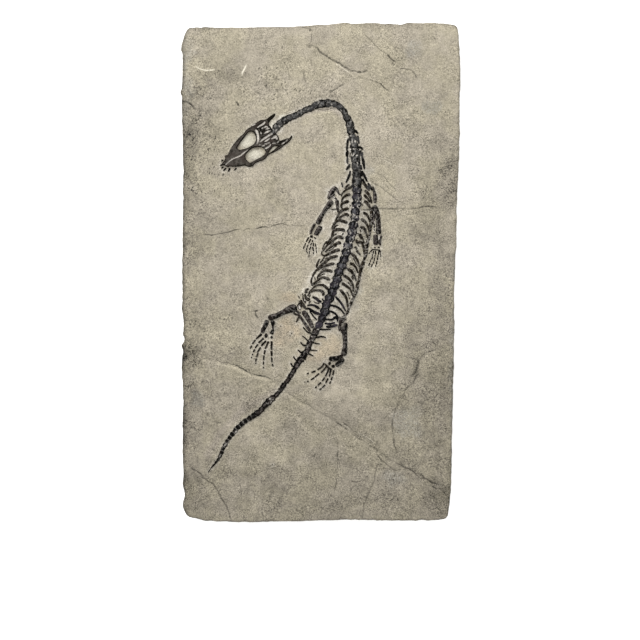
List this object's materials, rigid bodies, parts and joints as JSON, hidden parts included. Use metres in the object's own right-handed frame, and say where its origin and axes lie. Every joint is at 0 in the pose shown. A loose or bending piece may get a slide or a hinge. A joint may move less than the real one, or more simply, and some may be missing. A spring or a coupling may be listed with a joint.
{
  "type": "fossil keichousaurus skeleton",
  "caption": "Fossil skeleton of a small long-necked marine reptile, dark bones in low relief on a rectangular limestone slab that lies flat with the bones uppermost.",
  "frame": {"origin": "middle of the slab's flat underside", "axes": "+Z out of the fossil face, +Y along the slab's length towards the end that the neck bends at, +X across its width; seen from +Z the skull is to the left (-X)"},
  "size_m": [0.1396, 0.2496, 0.0201],
  "materials": {
    "stone": "matt fine-grained limestone, buff grey with faint mottling",
    "bone": "mineralised bone, charcoal black, matt to faintly waxy"
  },
  "bodies": {
    "root": {"left_clavicle": "bone", "left_femur": "bone", "left_fibula": "bone", "left_foot": "bone", "left_hand": "bone", "left_humerus": "bone", "left_ilium": "bone", "left_ischium": "bone", "left_radius": "bone", "left_rib_01": "bone", "left_rib_02": "bone", "left_rib_03": "bone", "left_rib_04": "bone", "left_rib_05": "bone", "left_rib_06": "bone", "left_rib_07": "bone", "left_rib_08": "bone", "left_rib_09": "bone", "left_rib_10": "bone", "left_rib_11": "bone", "left_rib_12": "bone", "left_rib_13": "bone", "left_rib_14": "bone", "left_rib_15": "bone", "left_rib_16": "bone", "left_scapula": "bone", "left_tibia": "bone", "left_ulna": "bone", "neck_vertebrae": "bone", "right_belly_ribs": "bone", "right_femur": "bone", "right_fibula": "bone", "right_foot": "bone", "right_hand": "bone", "right_humerus": "bone", "right_ilium": "bone", "right_radius": "bone", "right_rib_01": "bone", "right_rib_02": "bone", "right_rib_03": "bone", "right_rib_04": "bone", "right_rib_05": "bone", "right_rib_06": "bone", "right_rib_07": "bone", "right_rib_08": "bone", "right_rib_09": "bone", "right_rib_10": "bone", "right_rib_11": "bone", "right_rib_12": "bone", "right_rib_13": "bone", "right_rib_14": "bone", "right_rib_15": "bone", "right_rib_16": "bone", "right_scapula": "bone", "right_tibia": "bone", "right_ulna": "bone", "skull": "bone", "slab": "stone", "tail_vertebrae": "bone", "trunk_vertebrae": "bone"}
  },
  "joints": []
}
